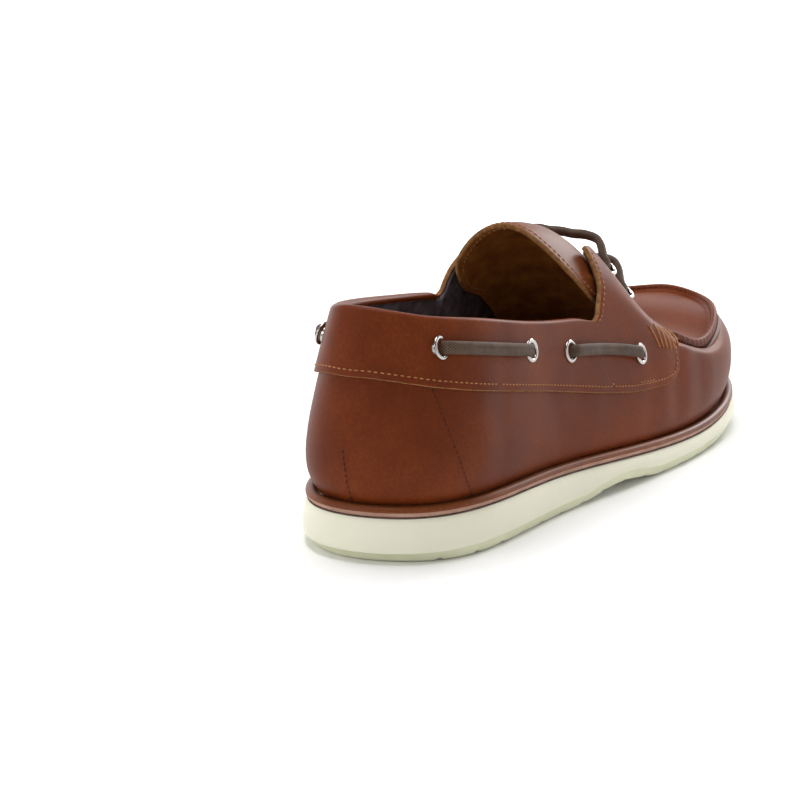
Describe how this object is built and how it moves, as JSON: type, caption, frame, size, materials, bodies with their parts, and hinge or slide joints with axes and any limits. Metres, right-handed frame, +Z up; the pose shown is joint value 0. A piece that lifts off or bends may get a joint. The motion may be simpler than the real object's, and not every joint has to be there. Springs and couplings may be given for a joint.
{
  "type": "boat shoe",
  "caption": "Low leather boat shoe for the right foot, with raised apron seam, collar band, laced side eyelets, tied bow, tongue, leather rand and cream rubber cup sole.",
  "frame": {"origin": "on the floor under the middle of the heel seat, on the middle line of the sole", "axes": "+Y points from the heel to the toe, +X to the outer (right) side and +Z up"},
  "size_m": [0.1059, 0.3004, 0.1117],
  "materials": {
    "sole_rubber": "matt cream rubber",
    "rand_leather": "dark brown edge, satin",
    "upper_leather": "smooth brown leather, waxed satin",
    "tongue_leather": "smooth brown leather over tan lining",
    "insole_leather": "tan leather, matt",
    "lace_cord": "waxed woven cotton, matt",
    "eyelet_metal": "bright nickel plate"
  },
  "bodies": {
    "root": {"outsole": "sole_rubber", "rand": "rand_leather", "insole": "insole_leather", "upper": "upper_leather", "collar_band": "upper_leather", "tongue": "tongue_leather", "lace_bar_outer_rear": "lace_cord", "lace_bar_outer_front": "lace_cord", "lace_bar_inner_rear": "lace_cord", "lace_bar_inner_front": "lace_cord", "lace_bar_top_rear": "lace_cord", "lace_bar_top_front": "lace_cord", "lace_knot": "lace_cord", "lace_loop_outer": "lace_cord", "lace_loop_inner": "lace_cord", "lace_end_outer": "lace_cord", "lace_end_inner": "lace_cord", "eyelet_outer_1": "eyelet_metal", "eyelet_outer_2": "eyelet_metal", "eyelet_outer_3": "eyelet_metal", "eyelet_outer_4": "eyelet_metal", "eyelet_inner_1": "eyelet_metal", "eyelet_inner_2": "eyelet_metal", "eyelet_inner_3": "eyelet_metal", "eyelet_inner_4": "eyelet_metal", "eyelet_wing_outer_1": "eyelet_metal", "eyelet_wing_outer_2": "eyelet_metal", "eyelet_wing_inner_1": "eyelet_metal", "eyelet_wing_inner_2": "eyelet_metal"}
  },
  "joints": []
}
